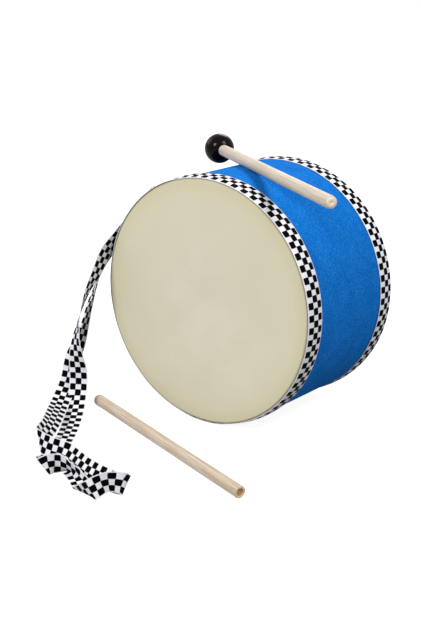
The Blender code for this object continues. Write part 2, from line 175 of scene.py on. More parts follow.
def checkRibbon():
    look = dict(white="#DBDBE1", black="#050506", softMm=0.16, frayMm=1.3, frayBy=0.5)
    look.update(floatRise=2.5, bumpMm=0.06)  # checks stand this many ribs high
    made, tree, shader = newMaterial("woven_check_ribbon", Roughness=0.7, IOR=1.5, Specular_IOR_Level=0.01)
    place = addNode(tree, "ShaderNodeAttribute", attribute_name="threadMm").outputs["Vector"]
    links = [("Vector", place), ("Scale", 1 / look["frayMm"]), ("Detail", 2)]
    fray = addNode(tree, "ShaderNodeTexNoise", links).outputs["Color"]
    centred = addNode(tree, "ShaderNodeVectorMath", [(0, fray), (1, (0.5, 0.5, 0.5))], operation="SUBTRACT")
    links = [(0, centred.outputs[0]), ("Scale", look["frayBy"])]
    frayed = addNode(tree, "ShaderNodeVectorMath", links, operation="SCALE")
    worn = addNode(tree, "ShaderNodeVectorMath", [(0, place), (1, frayed.outputs[0])], operation="ADD")
    pair = 2 * ribbon["checkLength"]
    corner = ribbon["cornerMm"]
    wide = 99  # more than the ribbon's width, so that only its length wraps
    nearest = wide
    for middle, half, shift in checkRows:  # distance to the nearest rounded check of each row
        links = [(0, worn.outputs[0]), (1, (shift * pair, middle, 0))]
        moved = addNode(tree, "ShaderNodeVectorMath", links, operation="SUBTRACT")
        links = [(0, moved.outputs[0]), (1, (pair / 2, wide, wide)), (2, (-pair / 2, -wide, -wide))]
        wrapped = addNode(tree, "ShaderNodeVectorMath", links, operation="WRAP")
        folded = addNode(tree, "ShaderNodeVectorMath", [(0, wrapped.outputs[0])], operation="ABSOLUTE")
        core = (ribbon["checkShare"] * pair / 2 - corner, half - corner, wide)
        links = [(0, folded.outputs[0]), (1, core)]
        past = addNode(tree, "ShaderNodeVectorMath", links, operation="SUBTRACT")
        links = [(0, past.outputs[0]), (1, (0, 0, 0))]
        outside = addNode(tree, "ShaderNodeVectorMath", links, operation="MAXIMUM")
        away = addNode(tree, "ShaderNodeVectorMath", [(0, outside.outputs[0])], operation="LENGTH")
        links = [(0, nearest), (1, away.outputs["Value"])]
        nearest = addNode(tree, "ShaderNodeMath", links, operation="MINIMUM").outputs[0]
    soft = look["softMm"]
    links = [("Value", nearest), ("From Min", corner - soft), ("From Max", corner + soft)]
    links += [("To Min", 1), ("To Max", 0)]
    check = addNode(tree, "ShaderNodeMapRange", links, interpolation_type="SMOOTHSTEP").outputs[0]
    links = [("Factor", check), (6, linear(look["white"])), (7, linear(look["black"]))]
    colour = addNode(tree, "ShaderNodeMix", links, data_type="RGBA")
    tree.links.new(colour.outputs[2], shader.inputs["Base Color"])
    along = addNode(tree, "ShaderNodeSeparateXYZ", [(0, place)]).outputs["X"]
    links = [(0, along), (1, 2 * math.pi / ribbon["ribMm"])]
    ribTurn = addNode(tree, "ShaderNodeMath", links, operation="MULTIPLY")
    rib = addNode(tree, "ShaderNodeMath", [(0, ribTurn.outputs[0])], operation="SINE").outputs[0]
    links = [(0, check), (1, look["floatRise"]), (2, rib)]
    height = addNode(tree, "ShaderNodeMath", links, operation="MULTIPLY_ADD")
    links = [("Height", height.outputs[0]), ("Strength", 0.35), ("Distance", look["bumpMm"] * mm)]
    bump = addNode(tree, "ShaderNodeBump", links)
    tree.links.new(bump.outputs[0], shader.inputs["Normal"])
    return made


# Sanded beech dowel, unfinished: pale, straight grain along the axis, short dark flecks, tan end grain
def beech(name, look):
    # colour, shift by the seed, stretch, size in mm, detail, roughness,
    # noise values between which it comes in, most of it
    patterns = [
        ("grain", (1, 2, 3), (1, 1, 0.05), 2.2, 5, 0.6, 0.4, 0.64, 1),
        ("fleck", (1, 0, 1), (1.4, 1.4, 0.3), 1, 2, 0.5, 0.62, 0.72, 0.5),
        ("tan", (0, 0, 9), (1, 1, 1), 60, 1, 0.5, 0.4, 0.65, 0.5),
    ]
    coreSoftMm = 0.5
    bumpMm = 0.15
    made, tree, shader = newMaterial(name, Roughness=0.5, IOR=1.45, Specular_IOR_Level=0.45)
    place = addNode(tree, "ShaderNodeAttribute", attribute_name="turnedMm").outputs["Vector"]
    noises = {}
    wood = linear(look["light"])
    for colour, shift, stretch, sizeMm, detail, roughness, first, last, most in patterns:
        links = [("Vector", place), ("Location", Vector(shift) * look["seed"]), ("Scale", stretch)]
        moved = addNode(tree, "ShaderNodeMapping", links).outputs[0]
        links = [("Vector", moved), ("Scale", 1 / sizeMm), ("Detail", detail), ("Roughness", roughness)]
        noises[colour] = addNode(tree, "ShaderNodeTexNoise", links).outputs["Fac"]
        links = [("Value", noises[colour]), ("From Min", first), ("From Max", last), ("To Max", most)]
        share = addNode(tree, "ShaderNodeMapRange", links)
        links = [("Factor", share.outputs[0]), (6, wood), (7, linear(look[colour]))]
        wood = addNode(tree, "ShaderNodeMix", links, data_type="RGBA").outputs[2]
    flat = addNode(tree, "ShaderNodeVectorMath", [(0, place), (1, (1, 1, 0))], operation="MULTIPLY")
    reach = addNode(tree, "ShaderNodeVectorMath", [(0, flat.outputs[0])], operation="LENGTH")
    # the middle of a sawn end gets the core colour, which on the stick is painted shade in its hollow
    coreEnd = look["coreMm"] + coreSoftMm
    links = [("Value", reach.outputs["Value"]), ("From Min", look["coreMm"]), ("From Max", coreEnd)]
    links += [("To Min", 1), ("To Max", 0)]
    core = addNode(tree, "ShaderNodeMapRange", links)
    links = [("Factor", core.outputs[0]), (6, linear(look["end"])), (7, linear(look["core"]))]
    sawn = addNode(tree, "ShaderNodeMix", links, data_type="RGBA")
    cut = addNode(tree, "ShaderNodeAttribute", attribute_name="endGrain")
    links = [("Factor", cut.outputs["Fac"]), (6, wood), (7, sawn.outputs[2])]
    both = addNode(tree, "ShaderNodeMix", links, data_type="RGBA")
    tree.links.new(both.outputs[2], shader.inputs["Base Color"])
    links = [("Height", noises["grain"]), ("Strength", 0.25), ("Distance", bumpMm * mm)]
    bump = addNode(tree, "ShaderNodeBump", links)
    tree.links.new(bump.outputs[0], shader.inputs["Normal"])
    return made


# Turned ball in dark brown gloss lacquer: near black, clear mirror gloss with a slight ripple
def darkLacquer():
    look = dict(dark="#050303", brown="#140706", streakMm=5, bumpMm=0.2)
    made, tree, shader = newMaterial("dark_gloss_lacquer", Roughness=0.1, IOR=1.5, Specular_IOR_Level=0.07)
    place = addNode(tree, "ShaderNodeAttribute", attribute_name="turnedMm").outputs["Vector"]
    links = [("Vector", place), ("Scale", 1 / look["streakMm"]), ("Detail", 4)]
    streak = addNode(tree, "ShaderNodeTexNoise", links).outputs["Fac"]
    links = [("Factor", streak), (6, linear(look["dark"])), (7, linear(look["brown"]))]
    colour = addNode(tree, "ShaderNodeMix", links, data_type="RGBA")
    tree.links.new(colour.outputs[2], shader.inputs["Base Color"])
    links = [("Height", streak), ("Strength", 0.08), ("Distance", look["bumpMm"] * mm)]
    bump = addNode(tree, "ShaderNodeBump", links)
    tree.links.new(bump.outputs[0], shader.inputs["Normal"])
    return made


# Stamped brass, tumbled: satin, a little stained
def tackBrass():
    look = dict(bright="#C8A75A", stain="#8C6E34", stainMm=1.5)
    made, tree, shader = newMaterial("stamped_brass", Metallic=1.0)
    place = addNode(tree, "ShaderNodeTexCoord").outputs["Object"]
    links = [("Vector", place), ("Scale", 1 / (look["stainMm"] * mm)), ("Detail", 4)]
    stain = addNode(tree, "ShaderNodeTexNoise", links).outputs["Fac"]
    links = [("Factor", stain), (6, linear(look["bright"])), (7, linear(look["stain"]))]
    colour = addNode(tree, "ShaderNodeMix", links, data_type="RGBA")
    tree.links.new(colour.outputs[2], shader.inputs["Base Color"])
    rough = addNode(tree, "ShaderNodeMapRange", [("Value", stain), ("To Min", 0.22), ("To Max", 0.45)])
    tree.links.new(rough.outputs[0], shader.inputs["Roughness"])
    return made


# Bent poplar plywood: plies show as rings through the wall
def plywood():
    look = dict(light="#C7A97C", dark="#A98858", plyMm=1.3, plyShare=0.3, grainMm=4, bumpMm=0.2)
    made, tree, shader = newMaterial("bent_plywood", Roughness=0.65, IOR=1.45)
    place = addNode(tree, "ShaderNodeTexCoord").outputs["Object"]
    flat = addNode(tree, "ShaderNodeVectorMath", [(0, place), (1, (1, 0, 1))], operation="MULTIPLY")
    reach = addNode(tree, "ShaderNodeVectorMath", [(0, flat.outputs[0])], operation="LENGTH")
    links = [(0, reach.outputs["Value"]), (1, math.pi / (look["plyMm"] * mm))]
    turn = addNode(tree, "ShaderNodeMath", links, operation="MULTIPLY")
    ply = addNode(tree, "ShaderNodeMath", [(0, turn.outputs[0])], operation="SINE").outputs[0]
    links = [("Vector", place), ("Scale", 1 / (look["grainMm"] * mm)), ("Detail", 6)]
    grain = addNode(tree, "ShaderNodeTexNoise", links).outputs["Fac"]
    links = [(0, ply), (1, look["plyShare"]), (2, grain)]
    both = addNode(tree, "ShaderNodeMath", links, operation="MULTIPLY_ADD")
    links = [("Factor", both.outputs[0]), (6, linear(look["light"])), (7, linear(look["dark"]))]
    colour = addNode(tree, "ShaderNodeMix", links, data_type="RGBA")
    tree.links.new(colour.outputs[2], shader.inputs["Base Color"])
    links = [("Height", grain), ("Strength", 0.3), ("Distance", look["bumpMm"] * mm)]
    bump = addNode(tree, "ShaderNodeBump", links)
    tree.links.new(bump.outputs[0], shader.inputs["Normal"])
    return made


def settle(piece, body, node):  # rides on its body, stands for its node
    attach(piece, body)
    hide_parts(node)


# profile: (radius, height) in mm from axis to axis, anticlockwise, spun about local Z
def turnedPiece(name, profile, segments, place, look):
    endFacing = 0.85  # a face that looks this much along the axis is end grain
    turns = np.linspace(0, 2 * math.pi, segments, endpoint=False)
    points = []
    rings = []
    for r, h in profile:
        around = turns if r > 0 else turns[:1]
        rings.append([len(points) + i % len(around) for i in range(segments)])
        points += [(r * math.cos(t), r * math.sin(t), h) for t in around]
    faces = []
    for near, far in zip(rings, rings[1:]):
        for corners in zip(near, near[1:] + near[:1], far[1:] + far[:1], far):
            faces.append(list(dict.fromkeys(corners)))  # a triangle at the axis
    mesh = bpy.data.meshes.new(name)
    mesh.from_pydata((np.array(points) * mm).tolist(), [], faces)
    local = mesh.attributes.new("turnedMm", "FLOAT_VECTOR", "POINT")
    local.data.foreach_set("vector", np.array(points, np.float32).ravel())
    grain = mesh.attributes.new("endGrain", "FLOAT", "CORNER")
    ends = [abs(p.normal.z) > endFacing for p in mesh.polygons]
    hollows = [p.normal.xy @ p.center.xy < 0 for p in mesh.polygons]
    cut = np.repeat(np.logical_or(ends, hollows), [p.loop_total for p in mesh.polygons])
    grain.data.foreach_set("value", cut.astype(np.float32))
    mesh.transform(place)
    mesh.shade_smooth()
    mesh.set_sharp_from_angle(angle=sharpTurn)
    mesh.materials.append(look)
    made = bpy.data.objects.new(name, mesh)
    bpy.context.scene.collection.objects.link(made)
    return made


def arc(centre, radius, first, last, steps):  # profile points of an arc, degrees from the radial direction
    turns = np.radians(np.linspace(first, last, steps + 1))
    return [(centre[0] + radius * math.cos(t), centre[1] + radius * math.sin(t)) for t in turns]


# Drum, in mm and degrees
drum = dict(length=154.2, shell=127, gap=0.3, skin=0.6, edge=3, skirt=15)
drum.update(cover=0.6, setback=2, seam=217.5, butt=0.5, ripple=0.05)
drum.update(faceRings=14, edgeSteps=10, facets=240, bandPoints=361, bandRows=13)  # fineness of the meshes
# The trims stand proud by the crown, and the front one curls over its rim. The floor and the strap's ends
# press them flat: wholly up to the first angle from there, not at all beyond the second
drum.update(crown=1.1, frontTop=0.65, rearTop=0.5, crownFall=4, curl=1.1)
drum.update(floorPress=(4, 14), strapPress=(18, 32))
drum["skinInner"] = drum["shell"] + drum["gap"]
drum["skinOuter"] = drum["skinInner"] + drum["skin"]
drum["trimInner"] = drum["skinOuter"] + drum["gap"]
drum["trimMiddle"] = drum["setback"] + ribbon["width"] / 2
drum["coverStart"] = drum["skirt"] + drum["butt"]
drum["coverWidth"] = drum["length"] - 2 * drum["coverStart"]
drumPlace = Matrix.Rotation(-math.pi / 2, 4, "X")
# The strap's ends, which press on the trims, and the fineness of its mesh
strap = dict(frontAngle=125, rearAngle=135, endMargin=11, frontShift=4, seatStep=6, step=1.5, rowsAcross=9)


def drumHead(name, face, inward, look):
    edge = drum["edge"]
    steps = drum["edgeSteps"]
    bend = face + inward * edge
    hem = face + inward * drum["skirt"]
    roundAt = drum["skinOuter"] - edge
    profile = [(r, face) for r in np.linspace(0, roundAt, drum["faceRings"])[:-1]]
    profile += arc((roundAt, bend), edge, -90 * inward, 0, steps)
    profile += [(drum["skinOuter"], hem), (drum["skinInner"], hem)]
    profile += arc((roundAt, bend), edge - drum["skin"], 0, -90 * inward, steps)
    profile += [(0, face + inward * drum["skin"])]
    made = turnedPiece(name, profile[::inward], drum["facets"], drumPlace, look)
    made.data.attributes.remove(made.data.attributes["endGrain"])
    return made


skinLook = goatSkin()
settle(drumHead("front_head_skin", 0, 1, skinLook), "drum", "front_head")
settle(drumHead("rear_head_skin", drum["length"], -1, skinLook), "drum", "rear_head")
print("heads made")


# Bands glued round the barrel: the felt wrap and both trims come from one node tree
def bandTree():
    rippleScale = 60  # per metre, so waves some 17 mm long
    mergeGap = 1e-6  # metres
    tree = bpy.data.node_groups.new("wrappedBand", "GeometryNodeTree")
    tree.interface.new_socket("Geometry", in_out="OUTPUT", socket_type="NodeSocketGeometry")
    names = ("Radius", "Start", "Width", "Thickness", "Seam", "Butt", "Ripple", "Crown", "Top", "Woven")
    kinds = dict.fromkeys(names, "NodeSocketFloat")
    kinds.update(Segments="NodeSocketInt", Rows="NodeSocketInt", Material="NodeSocketMaterial")
    ids = {}
    for name, kind in kinds.items():
        ids[name] = tree.interface.new_socket(name, in_out="INPUT", socket_type=kind).identifier
    size = addNode(tree, "NodeGroupInput").outputs
    links = [("Vertices X", size["Segments"]), ("Vertices Y", size["Rows"])]
    sheet = addNode(tree, "GeometryNodeMeshGrid", links)
    uv = addNode(tree, "ShaderNodeSeparateXYZ", [(0, sheet.outputs["UV Map"])]).outputs

    # round the drum from seam to seam, and along it
    links = [(0, size["Butt"]), (1, size["Radius"])]
    slit = addNode(tree, "ShaderNodeMath", links, operation="DIVIDE").outputs[0]
    sweep = addNode(tree, "ShaderNodeMath", [(0, 2 * math.pi), (1, slit)], operation="SUBTRACT").outputs[0]
    links = [(0, slit), (1, 0.5), (2, size["Seam"])]
    first = addNode(tree, "ShaderNodeMath", links, operation="MULTIPLY_ADD").outputs[0]
    links = [(0, uv["X"]), (1, sweep), (2, first)]
    turn = addNode(tree, "ShaderNodeMath", links, operation="MULTIPLY_ADD").outputs[0]
    cosine = addNode(tree, "ShaderNodeMath", [(0, turn)], operation="COSINE").outputs[0]
    sine = addNode(tree, "ShaderNodeMath", [(0, turn)], operation="SINE").outputs[0]
    links = [(0, turn), (1, size["Radius"])]
    girth = addNode(tree, "ShaderNodeMath", links, operation="MULTIPLY").outputs[0]
    links = [(0, uv["Y"]), (1, size["Width"]), (2, size["Start"])]
    along = addNode(tree, "ShaderNodeMath", links, operation="MULTIPLY_ADD").outputs[0]

    # radius with a slight ripple, and the crown where nothing presses on it
    spot = addNode(tree, "ShaderNodeCombineXYZ", [("X", girth), ("Y", along)])
    links = [("Vector", spot.outputs[0]), ("Scale", rippleScale), ("Detail", 1)]
    wave = addNode(tree, "ShaderNodeTexNoise", links).outputs["Fac"]
    links = [(0, wave), (1, size["Ripple"]), (2, size["Radius"])]
    rippled = addNode(tree, "ShaderNodeMath", links, operation="MULTIPLY_ADD").outputs[0]
    links = [(0, turn), (1, math.radians(strap["rearAngle"]))]
    fromStrap = addNode(tree, "ShaderNodeMath", links, operation="ADD")
    strapSide = addNode(tree, "ShaderNodeMath", [(0, fromStrap.outputs[0])], operation="COSINE").outputs[0]
    links = [(0, uv["Y"]), (1, size["Top"])]
    offTop = addNode(tree, "ShaderNodeMath", links, operation="SUBTRACT").outputs[0]
    square = addNode(tree, "ShaderNodeMath", [(0, offTop), (1, offTop)], operation="MULTIPLY").outputs[0]
    links = [(0, square), (1, -drum["crownFall"]), (2, 1)]
    bulge = addNode(tree, "ShaderNodeMath", links, operation="MULTIPLY_ADD").outputs[0]
    for side, presses in ((sine, drum["floorPress"]), (strapSide, drum["strapPress"])):
        pressed, free = [math.cos(math.radians(angle)) for angle in presses]
        links = [("Value", side), ("From Min", pressed), ("From Max", free)]
        ease = addNode(tree, "ShaderNodeMapRange", links, interpolation_type="SMOOTHSTEP").outputs[0]
        bulge = addNode(tree, "ShaderNodeMath", [(0, bulge), (1, ease)], operation="MULTIPLY").outputs[0]
    links = [(0, bulge), (1, size["Crown"]), (2, rippled)]
    lift = addNode(tree, "ShaderNodeMath", links, operation="MULTIPLY_ADD").outputs[0]
    down = addNode(tree, "ShaderNodeMath", [(0, lift), (1, -1)], operation="MULTIPLY").outputs[0]
    x = addNode(tree, "ShaderNodeMath", [(0, lift), (1, cosine)], operation="MULTIPLY").outputs[0]
    z = addNode(tree, "ShaderNodeMath", [(0, down), (1, sine)], operation="MULTIPLY").outputs[0]
    point = addNode(tree, "ShaderNodeCombineXYZ", [("X", x), ("Y", along), ("Z", z)])
    links = [("Geometry", sheet.outputs["Mesh"]), ("Position", point.outputs[0])]
    rolled = addNode(tree, "GeometryNodeSetPosition", links)

    # the thread's place in mm, for the finish
    links = [(0, uv["Y"]), (1, size["Woven"])]
    across = addNode(tree, "ShaderNodeMath", links, operation="MULTIPLY").outputs[0]
    thread = addNode(tree, "ShaderNodeCombineXYZ", [("X", girth), ("Y", across)])
    links = [(0, thread.outputs[0]), ("Scale", 1 / mm)]
    inMm = addNode(tree, "ShaderNodeVectorMath", links, operation="SCALE")
    links = [("Geometry", rolled.outputs[0]), ("Name", "threadMm"), ("Value", inMm.outputs[0])]
    stored = dict(data_type="FLOAT_VECTOR", domain="POINT")
    marked = addNode(tree, "GeometryNodeStoreNamedAttribute", links, **stored)

    # a closed wall
    links = [("Mesh", marked.outputs[0]), ("Offset Scale", size["Thickness"]), ("Individual", False)]
    outside = addNode(tree, "GeometryNodeExtrudeMesh", links)
    inside = addNode(tree, "GeometryNodeFlipFaces", [("Mesh", marked.outputs[0])])
    both = addNode(tree, "GeometryNodeJoinGeometry", [(0, inside.outputs[0]), (0, outside.outputs["Mesh"])])
    links = [("Geometry", both.outputs[0]), ("Distance", mergeGap)]
    closed = addNode(tree, "GeometryNodeMergeByDistance", links)
    real = addNode(tree, "GeometryNodeRealizeInstances", [("Geometry", closed.outputs[0])])
    links = [("Geometry", real.outputs[0]), ("Material", size["Material"])]
    coloured = addNode(tree, "GeometryNodeSetMaterial", links)
    addNode(tree, "NodeGroupOutput", [("Geometry", coloured.outputs[0])])
    return tree, ids


def plainMesh(piece):  # the modifiers' result as the object's own mesh
    ready = piece.evaluated_get(bpy.context.evaluated_depsgraph_get())
    mesh = bpy.data.meshes.new_from_object(ready)
    piece.modifiers.clear()
    piece.data = mesh
    mesh.shade_smooth()
    mesh.set_sharp_from_angle(angle=sharpTurn)
    return piece


wrapTree, wrapIds = bandTree()


def band(name, values):
    piece = bpy.data.objects.new(name, bpy.data.meshes.new(name))
    bpy.context.scene.collection.objects.link(piece)
    wrap = piece.modifiers.new("wrap", "NODES")
    wrap.node_group = wrapTree
    for key, value in values.items():
        wrap[wrapIds[key]] = value
    return plainMesh(piece)


feltLook = blueFelt()
ribbonLook = checkRibbon()
bandSizes = {"Seam": math.radians(drum["seam"]), "Butt": drum["butt"] * mm, "Ripple": drum["ripple"] * mm}
bandSizes.update({"Segments": drum["bandPoints"], "Rows": drum["bandRows"]})
radius = drum["skinInner"]
width = drum["coverWidth"]
feltSizes = {"Radius": radius * mm, "Thickness": drum["cover"] * mm, "Material": feltLook}
feltSizes.update({"Start": drum["coverStart"] * mm, "Width": width * mm, "Woven": width * mm})
feltSizes.update({"Crown": 0.0, "Top": 0.0})
made = band("felt_wrap", {**bandSizes, **feltSizes})
settle(made, "drum", "shell_cover")

trimSizes = {"Radius": drum["trimInner"] * mm, "Thickness": ribbon["thickness"] * mm}
trimSizes.update({"Crown": drum["crown"] * mm, "Woven": ribbon["width"] * mm, "Material": ribbonLook})
frontStart = drum["setback"] - drum["curl"]
frontWidth = ribbon["width"] + drum["curl"]
rearStart = drum["length"] - drum["setback"] - ribbon["width"]
trims = [  # piece, node, start along the drum, width, where across it the crown is highest
    ("front_check_trim", "front_trim", frontStart, frontWidth, drum["frontTop"]),
    ("rear_check_trim", "rear_trim", rearStart, ribbon["width"], drum["rearTop"]),
]
for name, node, start, width, top in trims:
    own = {"Start": start * mm, "Width": width * mm, "Top": top}
    settle(band(name, {**bandSizes, **trimSizes, **own}), "drum", node)
print("felt wrap and trims made")

# Strap: middle of the ribbon in mm and direction of the line from edge to edge, front end first
strapRoute = [
    ((-106.5, 17, 74.2), (0, 1, -0.1)),
    ((-120.6, 7.2, 52), (-0.05, 0.95, -0.3)),
    ((-127, -6.7, 34.5), (-0.08, 0.93, -0.36)),
    ((-130, -18.8, 13.5), (-0.2, 0.88, -0.4)),
    ((-132, -29.6, -1.6), (-0.42, 0.8, -0.4)),
    ((-134.5, -37.5, -21), (-0.6, 0.75, -0.29)),
    ((-134, -44, -36), (-0.76, 0.6, -0.25)),
    ((-131, -52, -53), (-0.92, 0.36, -0.2)),
    ((-129, -53.5, -69.5), (-0.98, -0.05, -0.12)),
    ((-128, -52.5, -84), (-0.93, -0.36, -0.09)),
    ((-127, -53.4, -98.5), (-0.89, -0.46, -0.06)),
    ((-123.7, -59.3, -112), (-0.89, -0.45, 0)),
    ((-112.9, -74.7, -121.5), (-0.9, -0.43, 0.03)),
    ((-93.4, -102.5, -125.8), (-0.9, -0.41, 0.07)),
    ((-75, -131.2, -126.6), (-0.9, -0.4, 0.08)),
    ((-62, -157, -126.3), (-0.9, -0.4, 0.1)),
    ((-52, -173, -125.4), (-0.88, -0.38, 0.16)),
    ((-44, -185.5, -122.6), (-0.8, -0.3, 0.48)),
    ((-38.5, -194.5, -120.5), (-0.68, -0.3, 0.66)),
    ((-32.3, -200.3, -119.9), (-0.43, -0.34, 0.84)),
    ((-30.5, -196.8, -118.6), (-0.23, -0.1, 0.97)),
    ((-28.3, -192.8, -118.3), (0.03, 0.08, 1)),
    ((-26, -189.2, -118.6), (0.2, 0.11, 0.97)),
    ((-21.2, -186.8, -118.9), (0.42, -0.05, 0.9)),
    ((-15.1, -185.5, -120.5), (0.68, -0.27, 0.64)),
    ((-9, -185, -122.2), (0.85, -0.25, 0.4)),
    ((0, -188.4, -126.2), (0.95, -0.05, 0.06)),
    ((11.5, -195.6, -127.4), (0.98, -0.02, 0.02)),
    ((23.2, -204.3, -128), (1, -0.09, 0)),
    ((27.8, -208.6, -126.6), (1, -0.09, -0.03)),
    ((39.8, -212.5, -118.9), (0.55, 0.19, -0.81)),
    ((41.7, -206.8, -117.2), (0.4, 0.22, -0.89)),
    ((44.3, -201.8, -115.2), (0.2, 0.25, -0.94)),
    ((48.3, -196.9, -114.1), (0.12, 0.16, -0.97)),
    ((53.4, -192.5, -114.6), (0.05, -0.02, -0.99)),
    ((57.6, -189.1, -115.8), (-0.02, -0.17, -0.98)),
    ((58.2, -185.6, -118.6), (-0.05, -0.5, -0.86)),
    ((54.8, -183.4, -120.4), (-0.1, -0.7, -0.71)),
    ((47, -183.2, -120.8), (-0.2, -0.68, -0.7)),
    ((34.8, -183.3, -120.2), (-0.28, -0.62, -0.73)),
    ((17.8, -182.5, -118.9), (-0.33, -0.56, -0.77)),
    ((4.4, -179.8, -118.7), (-0.33, -0.56, -0.77)),
    ((-9.1, -176.4, -117.6), (-0.33, -0.56, -0.77)),
    ((-22, -171.8, -117.1), (-0.32, -0.55, -0.78)),
    ((-33.1, -169.1, -115.8), (-0.27, -0.52, -0.81)),
    ((-43.7, -169.8, -115.1), (-0.17, -0.46, -0.87)),
    ((-53.1, -171.6, -114), (-0.05, -0.4, -0.91)),
    ((-63.8, -170.7, -112.9), (0.1, -0.29, -0.95)),
    ((-73, -166.5, -112), (0.33, -0.1, -0.94)),
    ((-79.2, -154.1, -112), (0.56, 0.05, -0.83)),
    ((-86, -140.2, -112), (0.7, 0.14, -0.7)),
    ((-105.5, -112.8, -113.3), (0.83, 0.3, -0.47)),
    ((-133.5, -73.5, -113), (0.87, 0.37, -0.3)),
    ((-142.6, -51.6, -98.5), (0.9, 0.36, -0.2)),
    ((-141, -46, -75), (0.97, 0.2, -0.1)),
    ((-137, -38, -54.5), (0.99, -0.13, 0.06)),
    ((-136, -31, -39), (0.92, -0.36, 0.15)),
    ((-138, -21.5, -22), (0.86, -0.47, 0.16)),
    ((-140, -10.5, -6), (0.77, -0.61, 0.18)),
    ((-140, 2, 11.5), (0.62, -0.74, 0.25)),
    ((-138.5, 13, 29), (0.4, -0.7, 0.55)),
    ((-132, 27.5, 47), (0.35, -0.6, 0.7)),
    ((-120, 55, 66), (0.45, -0.42, 0.79)),
    ((-107, 88, 80), (0.56, -0.3, 0.77)),
    ((-97.5, 115, 89), (0.65, -0.18, 0.74)),
]


def onDrum(angle, radius, along):
    turn = math.radians(angle)
    return (radius * math.cos(turn), along, radius * math.sin(turn))


def strapStations():  # both ends lie on the trims, under the tacks
    seat = drum["trimInner"] + ribbon["thickness"] * 1.5 + drum["gap"]  # middle of the strap, on the trim
    endTurn = math.degrees(strap["endMargin"] / seat)
    frontMiddle = drum["trimMiddle"] + strap["frontShift"]
    front = [
        (onDrum(strap["frontAngle"] + turn, seat, frontMiddle), (0, 1, 0))
        for turn in (-endTurn, 0, strap["seatStep"], 2 * strap["seatStep"])
    ]
    turn = math.radians(strap["rearAngle"])
    rearMiddle = drum["length"] - drum["trimMiddle"]
    rear = [
        (onDrum(strap["rearAngle"], seat, rearMiddle + shift), (math.sin(turn), 0, -math.cos(turn)))
        for shift in (-strap["endMargin"], 0, ribbon["width"] / 2)
    ]
    return front + strapRoute + rear


def smoothRows(stations, step):  # a cubic through the stations, read at even steps
    rows = np.array([list(centre) + list(Vector(across).normalized()) for centre, across in stations])
    spans = np.linalg.norm(np.diff(rows[:, :3], axis=0), axis=1)
    marks = np.concatenate([[0], np.cumsum(spans)])
    before = np.concatenate([[0], np.arange(len(rows) - 1)])
    after = np.concatenate([np.arange(1, len(rows)), [len(rows) - 1]])
    slopes = (rows[after] - rows[before]) / (marks[after] - marks[before])[:, None]
    made = []
    for along in np.linspace(0, marks[-1], round(marks[-1] / step) + 1):
        at = min(np.searchsorted(marks, along, side="right") - 1, len(rows) - 2)
        span = spans[at]
        t = (along - marks[at]) / span
        made.append(
            (2 * t**3 - 3 * t**2 + 1) * rows[at]
            + (t**3 - 2 * t**2 + t) * span * slopes[at]
            + (3 * t**2 - 2 * t**3) * rows[at + 1]
            + (t**3 - t**2) * span * slopes[at + 1]
        )
    return np.array(made)


def makeStrap(look):
    rows = smoothRows(strapStations(), strap["step"])
    centres = rows[:, :3]
    along = np.gradient(centres, axis=0)
    along /= np.linalg.norm(along, axis=1)[:, None]
    across = rows[:, 3:] / np.linalg.norm(rows[:, 3:], axis=1)[:, None]
    # under 1 where the line lies askew, as it does at a slanting fold
    lean = np.linalg.norm(np.cross(along, across), axis=1)[:, None]
    ahead = np.sum(across * along, axis=1)[:, None] / lean
    across /= lean
    runs = np.concatenate([[0], np.cumsum(np.linalg.norm(np.diff(centres, axis=0), axis=1))])
    offsets = np.linspace(-ribbon["width"] / 2, ribbon["width"] / 2, strap["rowsAcross"])
    points = centres[:, None, :] + across[:, None, :] * offsets[None, :, None]
    count = strap["rowsAcross"]
    quads = [
        (i * count + j, i * count + j + 1, (i + 1) * count + j + 1, (i + 1) * count + j)
        for i in range(len(rows) - 1)
        for j in range(count - 1)
    ]
    mesh = bpy.data.meshes.new("strap_ribbon")
    mesh.from_pydata((points.reshape(-1, 3) * mm).tolist(), [], quads)
    threads = np.zeros((len(rows), count, 3), np.float32)
    threads[:, :, 0] = runs[:, None] + ahead * offsets[None, :]
    threads[:, :, 1] = offsets[None, :] + ribbon["width"] / 2
    mesh.attributes.new("threadMm", "FLOAT_VECTOR", "POINT").data.foreach_set("vector", threads.ravel())
    mesh.materials.append(look)
    piece = bpy.data.objects.new("strap_ribbon", mesh)
    bpy.context.scene.collection.objects.link(piece)
    thick = piece.modifiers.new("thickness", "SOLIDIFY")
    thick.thickness = ribbon["thickness"] * mm
    thick.offset = 0
    plainMesh(piece)
    return piece, (centres * mm).tolist(), float(runs[-1]) * mm


strapPiece, strapPath, strapLength = makeStrap(ribbonLook)
settle(strapPiece, "drum", "strap")
print("strap made, metres:", round(strapLength, 3))

# Tacks that hold the strap's ends
tackSize = dict(headRadius=4.5, headHeight=2.4, rim=0.5, rimInset=0.2, hollow=0.05)
tackSize.update(pinRadius=0.8, pinLength=10, domeSteps=10, facets=40)


def tack(name, node, angle, along, look):
    seat = drum["trimInner"] + 2 * ribbon["thickness"] + 2 * drum["gap"]
    spot = Vector(onDrum(angle, seat, along)) * mm
    place = Matrix.Translation(spot) @ Matrix.Rotation(math.radians(90 - angle), 4, "Y")
    pin = tackSize["pinRadius"]
    tip = -tackSize["pinLength"]
    head = tackSize["headRadius"]
    rim = tackSize["rim"]
    profile = [(0, tip), (pin, tip + 2 * pin), (pin, tackSize["hollow"]), (head - tackSize["rimInset"], 0)]
    for turn in np.radians(np.linspace(0, 90, tackSize["domeSteps"] + 1)):
        rise = (tackSize["headHeight"] - rim) * math.sin(turn)
        profile.append((head * math.cos(turn), rim + rise))
    profile[-1] = (0, tackSize["headHeight"])
    settle(turnedPiece(name, profile, tackSize["facets"], place, look), "drum", node)


